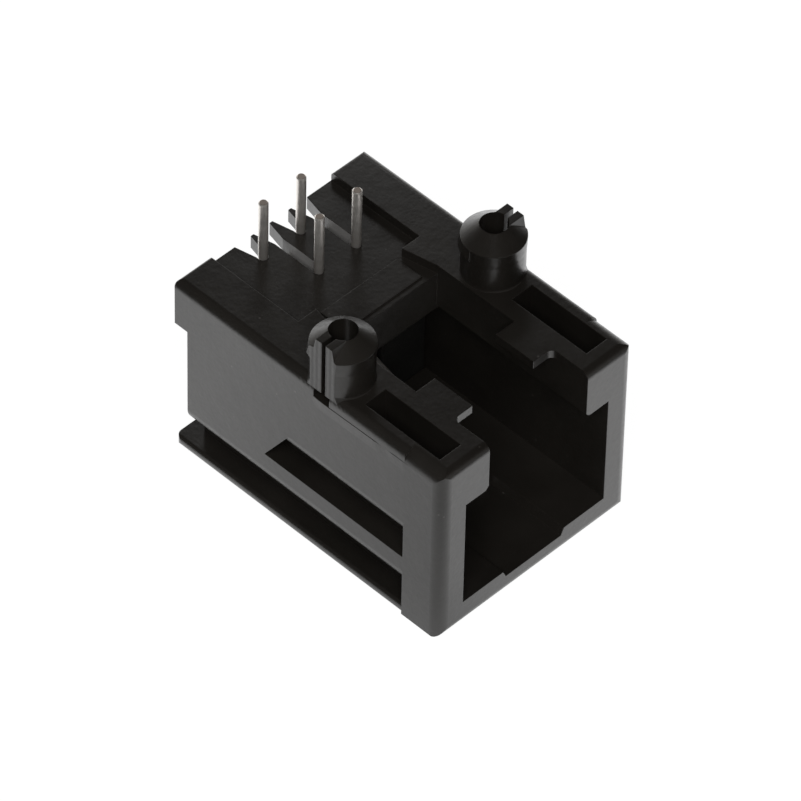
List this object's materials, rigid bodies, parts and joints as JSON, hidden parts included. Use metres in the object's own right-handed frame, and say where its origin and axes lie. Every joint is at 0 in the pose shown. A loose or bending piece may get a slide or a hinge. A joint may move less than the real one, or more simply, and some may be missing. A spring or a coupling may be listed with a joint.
{
  "type": "modular jack",
  "caption": "Side-entry board-mounted modular jack in black plastic with a latch slot, split snap pegs and staggered solder tails.",
  "frame": {"origin": "centre of the overall box at its bottom, the plain face away from the board", "axes": "+Z towards the board side, where the pegs and tails stand; -Y out of the plug opening; X across the opening"},
  "size_m": [0.013, 0.0182, 0.0146],
  "materials": {
    "housing": "satin black, finely textured",
    "insert": "satin black",
    "contact": "tinned, satin"
  },
  "bodies": {
    "root": {"housing": "housing", "contact_insert": "insert", "contact_1": "contact", "contact_2": "contact", "contact_3": "contact", "contact_4": "contact"}
  },
  "joints": []
}
